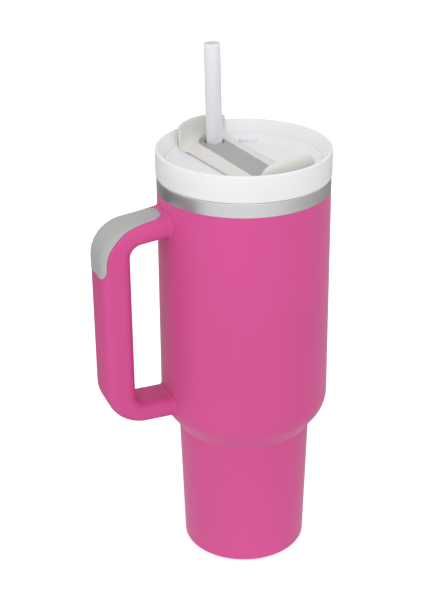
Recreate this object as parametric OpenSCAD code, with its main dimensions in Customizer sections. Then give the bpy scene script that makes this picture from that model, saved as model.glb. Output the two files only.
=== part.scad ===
// Double-walled steel tumbler with a moulded side handle, a push-in lid, a turning cover and a straw.
// Millimetres. +Z is up, the vessel stands on z = 0, and the handle points along -X.

/* [Vessel] */
// Radius of the foot
base_r = 37.3; // [35:0.1:39]
// Radius at the crease between the cup-holder stem and the shoulder
crease_r = 39.75; // [38.5:0.05:40]
// Height of that crease
crease_z = 83.2; // [78:0.2:86]
// Radius of the sharp shoulder corner before it is rounded
shoulder_r = 50.4; // [49.9:0.1:50.8]
// Height of the sharp shoulder corner
shoulder_z = 97.6; // [95:0.2:99]
// Rounding radius of the shoulder
shoulder_round = 20; // [10:1:24]
// Radius at the top of the coated wall
rim_r = 49.9; // [49.6:0.1:50.2]
// Height where the coating stops and the bare band starts
band_z = 234.3; // [230:0.1:236]
// Height of the steel mouth
mouth_z = 242.8; // [241:0.1:242.8]
// Thickness of each steel wall
wall = 0.8; // [0.6:0.1:1]
// Radial distance from the outer face to the drinking face of the liner
double_wall = 3.6; // [3.4:0.1:3.6]
// Height of the liner's floor
liner_floor = 8; // [7:0.5:11]

/* [Handle] */
// Width of the handle across the grip
handle_w = 26; // [24:0.5:28]
// Reach of the handle from the vessel's axis
handle_reach = 90; // [88:0.5:92]
// Distance from the axis to the finger side of the grip
grip_inner = 72.3; // [71:0.1:74]
// Height of the upper bar's top edge, 50 mm out from the axis
bar_top = 226.8; // [225:0.1:228]
// Height of the upper bar's lower edge, 50 mm out from the axis
bar_under = 213.6; // [213:0.1:214.5]
// Fall of the top edge for each millimetre outward
top_slope = 0.16; // [0.1:0.01:0.18]
// Fall of the lower edge for each millimetre outward
under_slope = 0.115; // [0.08:0.005:0.13]
// Height of the underside of the lower bar
foot_under = 99; // [98:0.1:100]
// Height of the upper side of the lower bar
foot_top = 111; // [110:0.1:112]
// Outer radius of the upper bend
bend_outer = 21; // [18:0.5:24]
// Outer radius of the lower bend
bend_outer_low = 24; // [18:0.5:25]
// Finger-side radius of both bends
bend_inner = 7.5; // [5:0.5:9]
// Rounding of the grip's long edges
grip_round = 5.4; // [4:0.1:5.8]
// Half width of the soft inlay
inlay_half = 9.2; // [7:0.1:9.5]

/* [Lid] */
// Outer radius of the lid
lid_r = 50.3; // [50:0.1:50.8]
// Height of the lid's crest
crest_z = 258.3; // [256:0.1:259]
// Radius of the recess that the cover turns in
recess_r = 45.6; // [45.4:0.1:46]
// Height of the fixed floor's upper face
floor_z = 243.2; // [243:0.1:243.4]
// Height of the lower edge of the lid's plug
plug_z = 229; // [227:0.5:231]
// Angle that the cover can turn while the straw is in
sweep = 90; // [60:5:120]

/* [Cover] */
// Direction of the straw end of the bar, from +X
bar_angle = 99; // [95:1:103]
// Half width of the bar
bar_half = 17.8; // [16:0.1:19]
// Distance from the bar's middle line to the end of its level top, on the handle side
flange_left = 12; // [11.9:0.1:14]
// The same distance on the other side
flange_right = 9.1; // [8.5:0.1:12]
// Turn of the hood and the drinking lip from the bar's middle line
end_turn = 6; // [0:0.5:8]
// Height of the bar's side edges
bar_edge_z = 247.4; // [247:0.1:248]
// Height of the middle panel's upper face
panel_z = 251.2; // [250.5:0.1:252]
// Half width of the middle panel
panel_half = 8; // [7.8:0.1:8.1]
// Distance from the bar's middle line to the panel's, towards the handle side
panel_shift = 2.2; // [1.5:0.1:2.2]
// Turn of the panel from the bar's middle line
panel_turn = -2; // [-2:0.5:0]
// Height of the hood behind the straw
hood_z = 265.4; // [262:0.1:267]
// Half width of the hood
hood_half = 16.8; // [14:0.1:17]
// Height of the drinking lip at the other end
lip_z = 264.2; // [261:0.1:266]
// Half width of the drinking lip
lip_half = 18.9; // [17:0.1:20]

/* [Straw] */
// Outer radius of the straw
straw_r = 4.75; // [4:0.05:4.8]
// Wall of the straw
straw_wall = 0.7; // [0.5:0.1:1]
// Distance from the vessel's axis to the straw where it leaves the panel
straw_out = 33; // [32:0.1:33.5]
// Lean of the straw, its top away from the axis
straw_lean = 1.7; // [1.5:0.1:1.9]
// Height of the straw's tip
straw_top = 309.5; // [290:0.5:315]
// Height of the straw's lower end
straw_low = 18; // [16:0.5:40]

/* [Hidden] */
$fn = 128;

pink = [0.85, 0.35, 0.59];
steel = [0.74, 0.75, 0.76];
white = [0.93, 0.93, 0.94];
cream = [0.84, 0.82, 0.80];
grey = [0.68, 0.68, 0.68];
silicone = [0.85, 0.86, 0.86];

// Foot of the outer wall
foot_z = 0.3;
foot_round = 1.6;
foot_in_r = base_r - 4.3;
floor_plate_z = 3;
floor_gap = 0.06;
plug_hole_r = 1.6;
getter_r = 5;
getter_x = 15;
getter_h = 1.6;

// Copper foil round the liner
foil_inset = 2.35;
foil_t = 0.15;
foil_low = 14;
foil_high = 226;

// Liner
liner_corner = 6;
liner_in_r = rim_r - double_wall;

// Handle: the gaps at the wall, the bracket stubs and their screws
wall_gap = 0.06;
weld_gap = 0.02;
grip_sides = 7;
stub_half = 8;
stub_h = 6;
stub_out = 64;
upper_stub_z = 214.8;
lower_stub_z = 102;
pocket_gap = 0.2;
screw_s = 58;
screw_r = 2;
screw_head_r = 3.6;
screw_head_h = 1.4;
screw_length = 7.5;
head_clearance = 0.7;
inlay_start = 51.2;
inlay_end_z = 194.5;
inlay_corner = 5.5;
inlay_depth = 1.2;
inlay_proud = 0.25;

// Lid
plug_r = liner_in_r - 0.7;
plug_t = 2;
floor_t = 2;
crest_round = 1.1;
rim_t = 1.4;
wall_foot_z = 252.2;
skirt_hollow_z = 250;
skirt_t = 1.9;
recess_t = 1.8;
ledge_z = 244.35;
ledge_t = 1.5;
gasket_z = 235.4;
gasket_h = 4;
gasket_groove = 1.1;
gasket_out_r = liner_in_r - 0.1;
window_gap = 2.9;
pin_r = 3;
pin_gap = 0.05;
pin_press = 0.01;

// Cover
disc_r = recess_r - 0.7;
disc_z = 244.6;
disc_t = 1.8;
bowl_start = 35.9;
bowl_round = 11;
bowl_steps = 4;
bar_r = disc_r - 0.4;
end_wall = 2.5;
end_step = 0.2;
hood_round = 6.5;
hood_crown = 90;
lip_round = 9;
lip_crown = 55;
panel_t = 1.1;
panel_gap = 0.1;
panel_hole_r = 6;
grommet_r = 6.9;
grommet_top = 248.2;
slot_r = 36.5;
slot_half = 3.8;
slot_reach = 2.6;
mark_angle = 64;
mark_r = 40.5;
mark_half = 1.7;
mark_reach = 3.6;
mark_h = 2.6;
seal_in_r = 41.2;
seal_out_r = 43.6;
seal_t = 1.2;
clip_r = 6;
clip_t = 1;
clip_gap = 0.2;

function unit(v) = v / norm(v);
function arc(centre, r, start, stop, n) =
    [for (i = [0:n]) let (a = start + (stop - start) * i / n) centre + r * [cos(a), sin(a)]];
function backwards(list) = [for (i = [len(list) - 1:-1:0]) list[i]];

// The arc that rounds corner b between a and c
function rounded_corner(a, b, c, r, n) =
    let (u = unit(a - b),
        v = unit(c - b),
        half = acos(u * v) / 2,
        centre = b + unit(u + v) * r / sin(half),
        p = b + u * r / tan(half) - centre,
        q = b + v * r / tan(half) - centre,
        start = atan2(p[1], p[0]),
        turn = (atan2(q[1], q[0]) - start + 540) % 360 - 180)
    arc(centre, r, start, start + turn, n);

// The vessel's side, moved in by the inset, from height low to height high
function stem_r(z) = base_r + (crease_r - base_r) * z / crease_z;
function upper_r(z) = shoulder_r + (rim_r - shoulder_r) * (z - shoulder_z) / (band_z - shoulder_z);
function side(inset, low, high) =
    let (in = [inset, 0],
        crease = [crease_r, crease_z] - in,
        corner = [shoulder_r, shoulder_z] - in,
        top = [upper_r(high), high] - in)
    concat([[stem_r(low) - inset, low], crease],
        rounded_corner(crease, corner, top, shoulder_round, 10), [top]);

// ---------------------------------------------------------------- vessel

module outer_wall() {
    bend = [base_r - foot_round, foot_z + foot_round];
    color(pink)
    rotate_extrude()
    polygon(concat(
        [[foot_in_r, foot_z]],
        arc(bend, foot_round, -90, 0, 6),
        side(0, foot_z + 2 * foot_round, band_z),
        backwards(side(wall, foot_z + 2 * foot_round, band_z)),
        arc(bend, foot_round - wall, 0, -90, 6),
        [[foot_in_r, foot_z + wall]]));
}

module inner_liner() {
    outer = double_wall - wall;
    side_low = liner_floor + liner_corner;
    in_r = stem_r(side_low) - double_wall;
    bend = [in_r - liner_corner, liner_floor + liner_corner];
    color(steel)
    rotate_extrude()
    polygon(concat(
        [[0, liner_floor - wall]],
        arc(bend, liner_corner + wall, -90, 0, 8),
        side(outer, side_low + 1, band_z),
        backwards(side(double_wall, side_low + 1, band_z)),
        arc(bend, liner_corner, 0, -90, 8),
        [[0, liner_floor]]));
}

// The bare band: both walls meet here in a folded mouth
module lip_ring() {
    round_r = 0.9;
    fold_z = mouth_z - round_r;
    color(steel)
    rotate_extrude()
    polygon(concat(
        [[rim_r - wall, band_z], [rim_r, band_z]],
        arc([rim_r - round_r, fold_z], round_r, 0, 90, 5),
        arc([liner_in_r + round_r, fold_z], round_r, 90, 180, 5),
        [[liner_in_r, band_z], [liner_in_r + wall, band_z], [liner_in_r + wall, mouth_z - wall],
        [rim_r - wall, mouth_z - wall]]));
}

// The space that the vessel fills over the handle's height, grown by a gap
module vessel_space(gap) {
    rotate_extrude()
    polygon(concat([[0, crease_z - 1]], side(-gap, crease_z - 1, band_z), [[0, band_z]]));
}

module radiation_foil() {
    color([0.80, 0.50, 0.34])
    rotate_extrude()
    polygon(concat(side(foil_inset, foil_low, foil_high),
        backwards(side(foil_inset + foil_t, foil_low, foil_high))));
}

module vacuum_floor() {
    color(steel)
    translate([0, 0, floor_plate_z])
    difference() {
        cylinder(r = stem_r(floor_plate_z) - wall - floor_gap, h = wall);
        translate([0, 0, -1])
        cylinder(r = plug_hole_r, h = wall + 2);
    }
}

module getter() {
    color([0.45, 0.46, 0.48])
    translate([getter_x, 0, floor_plate_z + wall])
    cylinder(r = getter_r, h = getter_h);
}

// Glass bead that closes the hole through which the air was drawn out
module seal_plug() {
    head_h = 0.6;
    color([0.55, 0.60, 0.62])
    union() {
        translate([0, 0, floor_plate_z - head_h])
        cylinder(r = plug_hole_r * 1.8, h = head_h);
        translate([0, 0, floor_plate_z - head_h / 2])
        cylinder(r = plug_hole_r, h = wall + head_h / 2);
    }
}

// Bare cover over the seal, with a rim that stands against the floor plate
module base_disc() {
    rim_t = 0.8;
    disc_out = foot_in_r - 0.05;
    color(steel)
    rotate_extrude()
    polygon([[0, 0], [disc_out - 0.4, 0], [disc_out, 0.4], [disc_out, floor_plate_z],
        [disc_out - rim_t, floor_plate_z], [disc_out - rim_t, 0.8], [0, 0.8]]);
}

// ---------------------------------------------------------------- handle

// Both edges of the handle in its own plane: s is the distance from the axis, z the height.
// Each is a bar, a bend, the grip, a bend and a bar, with as many points as the other.
function top_edge_z(s) = bar_top - top_slope * (s - 50);
function under_edge_z(s) = bar_under - under_slope * (s - 50);
function steps(a, b, from, n) = [for (i = [from:n - 1]) a + (b - a) * i / n];
bar_start = 46;

function edge(face, r, r_low, slope, upper_z, lower_z) =
    let (tilt = atan(slope),
        upper = [face - r, upper_z - r / cos(tilt)],
        lower = [face - r_low, lower_z + r_low],
        bend_in = upper + r * [sin(tilt), cos(tilt)],
        first = [bar_start, bend_in[1] + slope * (bend_in[0] - bar_start)])
    concat(steps(first, bend_in, 0, 5),
        arc(upper, r, 90 - tilt, 0, 12),
        steps([face, upper[1]], [face, lower[1]], 1, 12),
        arc(lower, r_low, 0, -90, 12),
        [[bar_start, lower_z]]);

outer_edge = edge(handle_reach, bend_outer, bend_outer_low, top_slope,
    top_edge_z(handle_reach - bend_outer), foot_under);
inner_edge = edge(grip_inner, bend_inner, bend_inner, under_slope,
    under_edge_z(grip_inner - bend_inner), foot_top);

// A rounded rectangle between the two edges at station i
function corner_arc(u, v, r, start) =
    [for (i = [0:grip_sides - 1])
        let (a = start + 90 * i / (grip_sides - 1))
        [u + r * cos(a), v + r * sin(a)]];
function ring(i) =
    let (a = inner_edge[i],
        b = outer_edge[i],
        mid = (a + b) / 2,
        out = unit(b - a),
        u = norm(b - a) / 2,
        v = handle_w / 2,
        r = min(grip_round, u - 0.4),
        flat = concat(corner_arc(u - r, v - r, r, 0), corner_arc(r - u, v - r, r, 90),
            corner_arc(r - u, r - v, r, 180), corner_arc(u - r, r - v, r, 270)))
    [for (p = flat) [-(mid[0] + out[0] * p[0]), p[1], mid[1] + out[1] * p[0]]];

// A closed skin over a list of rings
module skin(rings) {
    n = len(rings[0]);
    last = len(rings) - 1;
    points = [for (r = rings) for (p = r) p];
    sides = [for (i = [0:last - 1]) for (k = [0:n - 1])
        [i * n + k, i * n + (k + 1) % n, (i + 1) * n + (k + 1) % n, (i + 1) * n + k]];
    caps = [[for (k = [n - 1:-1:0]) k], [for (k = [0:n - 1]) last * n + k]];
    polyhedron(points, concat(sides, caps), convexity = 6);
}

// The grey inlay follows the outer edge. Its ends have round corners, so it narrows over the last stretch.
function inlay_width(s, z) =
    let (left = min(s - inlay_start, z - inlay_end_z, inlay_corner))
    inlay_half - inlay_corner + sqrt(pow(inlay_corner, 2) - pow(inlay_corner - max(left, 0.1), 2));
inlay_steps = [0.1, 0.6, 1.6, 3.2, inlay_corner];
inlay_line = concat(
    [for (k = inlay_steps) [inlay_start + k, top_edge_z(inlay_start + k)]],
    arc([handle_reach - bend_outer, outer_edge[17][1]], bend_outer, 90 - atan(top_slope), 0, 14),
    [for (k = backwards(inlay_steps)) [handle_reach, inlay_end_z + k]]);
function inlay_normal(i) =
    let (last = len(inlay_line) - 1,
        t = unit(inlay_line[min(i + 1, last)] - inlay_line[max(i - 1, 0)]))
    [-t[1], t[0]];
function inlay_ring(i, grow, proud) =
    let (p = inlay_line[i],
        n = inlay_normal(i),
        half = inlay_width(p[0], p[1]) + grow,
        a = p - n * (inlay_depth + grow),
        b = p + n * proud,
        e = min(0.5, half / 3),
        c = b - n * min(0.3, proud))
    [[-a[0], half, a[1]], [-c[0], half, c[1]], [-b[0], half - e, b[1]], [-b[0], e - half, b[1]],
    [-c[0], -half, c[1]], [-a[0], -half, a[1]]];
module inlay_solid(grow, proud) {
    skin([for (i = [0:len(inlay_line) - 1]) inlay_ring(i, grow, proud)]);
}

module stub(z, grow) {
    translate([-stub_out - grow, -stub_half - grow, z - grow])
    cube([stub_out - 48 + grow, 2 * (stub_half + grow), stub_h + 2 * grow]);
}

// Screws come down through the upper bar and up through the lower bar
module at_upper_screw() {
    translate([-screw_s, 0, top_edge_z(screw_s) - inlay_depth - head_clearance])
    mirror([0, 0, 1])
    children();
}
module at_lower_screw() {
    translate([-screw_s, 0, foot_under + 0.2])
    children();
}
module screw(r, head_r) {
    union() {
        cylinder(r = head_r, h = screw_head_h);
        cylinder(r = r, h = screw_length);
    }
}

module handle_grip() {
    color(pink)
    difference() {
        skin([for (i = [0:len(outer_edge) - 1]) ring(i)]);
        vessel_space(wall_gap);
        inlay_solid(0.1, 3);
        stub(upper_stub_z, pocket_gap);
        stub(lower_stub_z, pocket_gap);
        at_upper_screw()
        translate([0, 0, -1])
        screw_way();
        at_lower_screw()
        translate([0, 0, -1])
        screw_way();
    }
}
module screw_way() {
    union() {
        cylinder(r = screw_head_r + 0.1, h = screw_head_h + 1);
        cylinder(r = screw_r + 0.1, h = 6);
    }
}

module grip_inlay() {
    color(grey)
    inlay_solid(0, inlay_proud);
}

module bracket(z) {
    color(steel)
    difference() {
        stub(z, 0);
        vessel_space(weld_gap);
        translate([-screw_s, 0, z - 1])
        cylinder(r = screw_r + 0.05, h = stub_h + 2);
    }
}
module upper_bracket() {
    bracket(upper_stub_z);
}
module lower_bracket() {
    bracket(lower_stub_z);
}

module handle_screws() {
    color([0.62, 0.63, 0.65])
    union() {
        at_upper_screw()
        screw_with_socket();
        at_lower_screw()
        screw_with_socket();
    }
}
module screw_with_socket() {
    difference() {
        screw(screw_r, screw_head_r);
        translate([0, 0, -0.1])
        cylinder(r = 1.6, h = 1.5, $fn = 6);
    }
}

// ---------------------------------------------------------------- lid

// A wedge of ring between two radii and two angles, with round ends
module ring_slot(mid_r, half, from, to, low, high) {
    translate([0, 0, low])
    union() {
        rotate([0, 0, from])
        rotate_extrude(angle = to - from)
        translate([mid_r - half, 0])
        square([2 * half, high - low]);
        for (a = [from, to])
            rotate([0, 0, a])
            translate([mid_r, 0, 0])
            cylinder(r = half, h = high - low);
    }
}

module lid_shell() {
    shade = mouth_z + 0.1;
    color(white)
    difference() {
        rotate_extrude()
        polygon(concat(
            [[0, floor_z - floor_t], [plug_r, floor_z - floor_t], [plug_r, shade], [lid_r, shade]],
            arc([lid_r - crest_round, crest_z - crest_round], crest_round, 0, 90, 8),
            [[lid_r - rim_t + 0.2, crest_z], [lid_r - rim_t, crest_z - 0.2], [recess_r, wall_foot_z],
            [recess_r, ledge_z], [recess_r - ledge_t, ledge_z], [recess_r - ledge_t, floor_z],
            [0, floor_z]]));
        rotate_extrude()
        translate([recess_r + recess_t, shade - 1])
        square([lid_r - skirt_t - recess_r - recess_t, skirt_hollow_z - shade + 1]);
        ring_slot(straw_out - 0.2, straw_r + window_gap, bar_angle - sweep, bar_angle,
            floor_z - floor_t - 1, floor_z + 1);
        translate([0, 0, floor_z - floor_t - 1])
        cylinder(r = pin_r + pin_gap, h = floor_t + 2);
    }
}

module lid_plug() {
    top = floor_z - floor_t;
    in_r = plug_r - plug_t;
    groove_r = plug_r - gasket_groove;
    color(white)
    rotate_extrude()
    polygon([[in_r, plug_z], [plug_r - 0.6, plug_z], [plug_r, plug_z + 0.6], [plug_r, gasket_z],
        [groove_r, gasket_z], [groove_r, gasket_z + gasket_h], [plug_r, gasket_z + gasket_h],
        [plug_r, top], [in_r, top]]);
}

// Silicone ring with two soft ribs
module lid_gasket() {
    back_r = plug_r - gasket_groove;
    rib = gasket_h / 4;
    color(silicone)
    rotate_extrude()
    polygon(concat([[back_r, gasket_z], [plug_r, gasket_z]],
        arc([plug_r, gasket_z + rib], gasket_out_r - plug_r, -80, 80, 6),
        arc([plug_r, gasket_z + 3 * rib], gasket_out_r - plug_r, -80, 80, 6),
        [[plug_r, gasket_z + gasket_h], [back_r, gasket_z + gasket_h]]));
}

// ---------------------------------------------------------------- turning cover

// Local z runs along the straw, and local z = 0 is level with the panel
module on_straw() {
    rotate([0, 0, bar_angle])
    translate([straw_out, 0, panel_z])
    rotate([0, straw_lean, 0])
    children();
}

// The drinking slot, inside the lip at the end away from the straw
module drink_slot(low, high) {
    rotate([0, 0, bar_angle + panel_turn])
    translate([-slot_r, panel_shift, low])
    linear_extrude(height = high - low)
    union() {
        square([2 * slot_half, 2 * slot_reach], center = true);
        for (end = [-slot_reach, slot_reach])
            translate([0, end])
            circle(r = slot_half);
    }
}

// The recess's smooth bowl from where the floor starts to rise to the disc's edge
function bowl_z(r) = disc_z + disc_t + bowl_round - sqrt(pow(bowl_round, 2) - pow(r - bowl_start, 2));
function bowl_line(lift) =
    [for (k = [0:bowl_steps])
        let (r = bowl_start + (disc_r - bowl_start) * k / bowl_steps)
        [r, bowl_z(r) + lift]];

module cover_disc() {
    color(white)
    union() {
        difference() {
            rotate_extrude()
            polygon(concat([[0, disc_z], [disc_r, disc_z]], backwards(bowl_line(0)),
                [[0, disc_z + disc_t]]));
            on_straw()
            translate([0, 0, -10])
            cylinder(r = grommet_r, h = 20);
            drink_slot(disc_z - 1, disc_z + disc_t + 2);
            translate([0, 0, disc_z - 1])
            cylinder(r = pin_r, h = disc_t + 2);
        }
        position_mark();
    }
}

// A low raised bar near the disc's edge
module position_mark() {
    rotate([0, 0, mark_angle])
    translate([mark_r, 0, disc_z + disc_t - 0.2])
    linear_extrude(height = mark_h + 0.2)
    union() {
        square([2 * mark_half, 2 * mark_reach], center = true);
        for (end = [-mark_reach, mark_reach])
            translate([0, end])
            circle(r = mark_half);
    }
}

// The standing wall at one end of the bar, before it is cut to the bar's curve
module end_outline(half, top, round, crown) {
    low = disc_z + disc_t;
    shoulder = top - 1.2 - round;
    intersection() {
        union() {
            translate([-half, low])
            square([2 * half, shoulder - low]);
            translate([round - half, low])
            square([2 * (half - round), top + 2 - low]);
            for (side = [-1, 1])
                translate([side * (half - round), shoulder])
                circle(r = round);
        }
        translate([0, top - crown])
        circle(r = crown, $fn = 360);
    }
}
module end_wall_piece(half, top, round, crown) {
    intersection() {
        rotate([90, 0, 90])
        linear_extrude(height = bar_r + 1)
        end_outline(half, top, round, crown);
        rotate([0, 0, 90])
        difference() {
            translate([0, 0, disc_z + disc_t])
            cylinder(r = bar_r, h = 30);
            translate([0, 0, disc_z - 1])
            cylinder(r = bar_r - end_wall, h = 32);
        }
    }
}

module cover_bar() {
    low = disc_z + disc_t;
    color(cream)
    difference() {
        rotate([0, 0, bar_angle])
        union() {
            difference() {
                bar_body(low);
                panel_shape(panel_gap, panel_z - panel_t, 5);
            }
            rotate([0, 0, end_turn])
            end_wall_piece(hood_half, hood_z, hood_round, hood_crown);
            rotate([0, 0, 180 + end_turn])
            end_wall_piece(lip_half, lip_z, lip_round, lip_crown);
        }
        on_straw()
        translate([0, 0, grommet_top - panel_z])
        cylinder(r = panel_hole_r, h = 20);
        on_straw()
        translate([0, 0, -10])
        cylinder(r = grommet_r, h = grommet_top - panel_z + 10);
        drink_slot(low - 1, panel_z + 1);
        translate([0, 0, low - 1])
        cylinder(r = pin_r, h = 3);
        bowl_space(low);
    }
}

// The bar between its ends, with a level top that falls to both sides
module bar_body(low) {
    intersection() {
        translate([-bar_r, 0, 0])
        rotate([90, 0, 90])
        linear_extrude(height = 2 * bar_r)
        polygon([[-bar_half, low], [bar_half, low], [bar_half, bar_edge_z], [flange_left, panel_z],
            [-flange_right, panel_z], [-bar_half, bar_edge_z]]);
        translate([0, 0, low])
        rotate([0, 0, 90])
        cylinder(r = bar_r - end_step, h = 20);
    }
}

// The panel's plan: straight sides and a round end about the straw
module panel_shape(grow, low, high) {
    rotate([0, 0, panel_turn])
    translate([0, panel_shift, low])
    linear_extrude(height = high)
    union() {
        translate([-bar_r, -panel_half - grow])
        square([bar_r + straw_out, 2 * (panel_half + grow)]);
        translate([straw_out, 0])
        circle(r = panel_half + grow);
    }
}

// The raised rim of the turning floor, which the bar's ends stand on
module bowl_space(low) {
    gap = 0.02;
    rotate_extrude()
    polygon(concat([[bowl_start, low - 1], [disc_r + 1, low - 1], [disc_r + 1, bowl_z(disc_r) + 2]],
        backwards(bowl_line(gap))));
}

module cover_panel() {
    far_end = bar_r - end_wall - panel_gap;
    color(grey)
    difference() {
        intersection() {
            rotate([0, 0, bar_angle])
            panel_shape(0, panel_z - panel_t, panel_t);
            translate([0, 0, panel_z - panel_t - 1])
            cylinder(r = far_end, h = panel_t + 2);
        }
        on_straw()
        translate([0, 0, -10])
        cylinder(r = panel_hole_r, h = 20);
        drink_slot(panel_z - panel_t - 1, panel_z + 1);
    }
}

module straw_grommet() {
    skirt_z = disc_z - 0.8;
    color(silicone)
    difference() {
        intersection() {
            on_straw()
            translate([0, 0, -20])
            cylinder(r = grommet_r - 0.05, h = grommet_top - panel_z + 20);
            translate([0, 0, skirt_z])
            cylinder(r = 45, h = 20);
        }
        on_straw()
        translate([0, 0, -30])
        cylinder(r = straw_r + 0.08, h = 60);
    }
}

module pivot_pin() {
    low = floor_z - floor_t - clip_gap - clip_t - 0.8;
    color(white)
    translate([0, 0, low])
    cylinder(r = pin_r - pin_press, h = disc_z + disc_t + 2 - low);
}

module pivot_clip() {
    color(steel)
    translate([0, 0, floor_z - floor_t - clip_gap - clip_t])
    difference() {
        cylinder(r = clip_r, h = clip_t);
        translate([0, 0, -1])
        cylinder(r = pin_r + 0.02, h = clip_t + 2);
        translate([0, -1.2, -1])
        cube([clip_r + 1, 2.4, clip_t + 2]);
    }
}

module cover_seal() {
    color(silicone)
    translate([0, 0, disc_z - seal_t])
    difference() {
        cylinder(r = seal_out_r, h = seal_t);
        translate([0, 0, -1])
        cylinder(r = seal_in_r, h = seal_t + 2);
    }
}

module straw() {
    below = (panel_z - straw_low) / cos(straw_lean);
    length = below + (straw_top - panel_z) / cos(straw_lean);
    color([0.90, 0.91, 0.91])
    on_straw()
    translate([0, 0, -below])
    difference() {
        cylinder(r = straw_r, h = length);
        translate([0, 0, -1])
        cylinder(r = straw_r - straw_wall, h = length + 2);
    }
}

outer_wall();
inner_liner();
lip_ring();
radiation_foil();
vacuum_floor();
getter();
seal_plug();
base_disc();
handle_grip();
grip_inlay();
upper_bracket();
lower_bracket();
handle_screws();
lid_shell();
lid_plug();
lid_gasket();
cover_disc();
cover_bar();
cover_panel();
straw_grommet();
pivot_pin();
pivot_clip();
cover_seal();
straw();
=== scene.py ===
import math

import bmesh
import bpy
import numpy as np
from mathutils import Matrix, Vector


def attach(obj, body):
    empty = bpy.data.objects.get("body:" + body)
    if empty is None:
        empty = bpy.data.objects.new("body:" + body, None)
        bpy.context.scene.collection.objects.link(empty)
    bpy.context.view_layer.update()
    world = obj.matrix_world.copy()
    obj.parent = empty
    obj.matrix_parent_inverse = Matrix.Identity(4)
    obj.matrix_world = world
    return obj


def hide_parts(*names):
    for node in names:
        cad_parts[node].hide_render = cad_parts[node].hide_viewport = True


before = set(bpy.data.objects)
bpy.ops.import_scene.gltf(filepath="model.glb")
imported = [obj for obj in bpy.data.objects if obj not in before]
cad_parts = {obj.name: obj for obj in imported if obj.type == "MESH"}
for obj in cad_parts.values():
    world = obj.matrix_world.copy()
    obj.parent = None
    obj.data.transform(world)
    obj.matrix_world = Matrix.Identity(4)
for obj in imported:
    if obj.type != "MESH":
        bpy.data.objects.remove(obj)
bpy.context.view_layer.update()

# Lengths are in millimetres until a mesh is made
MM = 0.001

# Vessel
FOOT_Z, FOOT_RIM, FOOT_ROUND = 0.3, 4.3, 1.6
BASE_R = 37.3
CREASE_R, CREASE_Z, CREASE_ROUND = 39.75, 83.2, 6
SHOULDER_R, SHOULDER_Z, SHOULDER_ROUND = 50.4, 97.6, 20
RIM_R, BAND_Z, MOUTH_Z = 49.9, 234.3, 242.8
WALL = 0.8
DOUBLE_WALL = 3.6
LINER_FLOOR_Z, LINER_FOOT_R, LINER_FOOT_ROUND = 8, 33.94, 6

# Handle
HALF_WIDTH = 13
GRIP_OUTER, GRIP_INNER = 90, 72.3
TOP_Z, TOP_SLOPE = 226.8, 0.16
UNDER_Z, UNDER_SLOPE = 213.6, 0.115
FOOT_TOP, FOOT_UNDER = 111, 99
BEND_OUTER, BEND_OUTER_LOW, BEND_INNER = 21, 24, 7.5
GRIP_ROUND = 5.4
WALL_GAP = 0.06
FLARE = 1.8
BAR_IN = 58
BEND_STEPS, GRIP_STEPS, BAR_STEPS = 40, 44, 12
INLAY_START = 51.6
INLAY_END_Z = 194.5
INLAY_CORNER = 6.5
INLAY_HALF_BAR, INLAY_HALF_GRIP = 8.9, 13.6
INLAY_PROUD, INLAY_DEPTH = 0.22, 1.1
INLAY_GAP = 0.26

# Lid
LID_R, CREST_Z, CREST_ROUND = 50.3, 258.3, 1.1
RIM_T = 1.4
SHADE_Z = 242.9
SKIRT_T, SKIRT_HOLLOW_Z = 1.9, 250
RECESS_R, RECESS_T = 45.6, 1.8
BOWL_START, BOWL_R, WALL_FOOT = 35.9, 11, 45.4
LEDGE_Z, LEDGE_T = 244.35, 1.5
FLOOR_Z, FLOOR_T = 243.2, 2
PLUG_R, PLUG_T, PLUG_Z = 45.6, 2, 229
GASKET_Z, GASKET_H = 235.4, 4

# Turning cover
BAR_ANGLE = 99
END_TURN = 6
DISC_R, DISC_Z, DISC_T = 44.9, 244.6, 1.8
BAR_R, BAR_HALF, SHADOW_GAP = 44.5, 17.8, 0.55
FLANGE_LEFT, FLANGE_RIGHT = 12, 9.1
EDGE_Z, PANEL_Z = 247.4, 251.2
PANEL_HALF, PANEL_T = 8, 1.1
PANEL_SHIFT, PANEL_TURN = 2.2, -2
HOOD_Z, HOOD_HALF, HOOD_ROUND, HOOD_CROWN = 265.4, 16.8, 3, 90
LIP_Z, LIP_HALF, LIP_ROUND, LIP_CROWN = 264.2, 18.9, 8, 55
HOOD_FALL, LIP_FALL = 0.5, 1.2
HOOD_BLEND, LIP_BLEND = 6.5, 4.0
END_WALL = 2.5
SLOT_R, SLOT_HALF, SLOT_REACH = 36.5, 3.8, 2.6
MARK_ANGLE, MARK_R, MARK_HALF, MARK_REACH, MARK_H = 64, 40.5, 1.7, 3.6, 2.6
PIN_R = 3

# Straw
STRAW_R, STRAW_WALL = 4.75, 0.7
STRAW_OUT, STRAW_LEAN = 33, math.radians(1.7)
STRAW_TOP, STRAW_LOW = 309.5, 18
HOLE_R = 5.8
WINDOW_GAP = 2.9
GROMMET_R, GROMMET_TOP = 6.9, 248.2


# ---------------------------------------------------------------- mesh helpers

def make_piece(name, points, faces, sharp=35):
    mesh = bpy.data.meshes.new(name)
    mesh.from_pydata((np.asarray(points, float) * MM).tolist(), [], [list(f) for f in faces])
    mesh.update()
    if mesh.validate():
        mesh.update()
    tool = bmesh.new()
    tool.from_mesh(mesh)
    bmesh.ops.recalc_face_normals(tool, faces=tool.faces)
    tool.to_mesh(mesh)
    tool.free()
    obj = bpy.data.objects.new(name, mesh)
    bpy.context.scene.collection.objects.link(obj)
    shade(obj, sharp)
    return obj


def shade(obj, sharp=35):
    obj.data.shade_smooth()
    obj.data.set_sharp_from_angle(angle=math.radians(sharp))


def settle(obj, body, replaced, material):
    """The piece stands for its CAD nodes, rides on its body and takes its material"""
    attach(obj, body)
    if replaced:
        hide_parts(*replaced)
    obj.data.materials.clear()
    obj.data.materials.append(material)
    return obj


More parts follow.
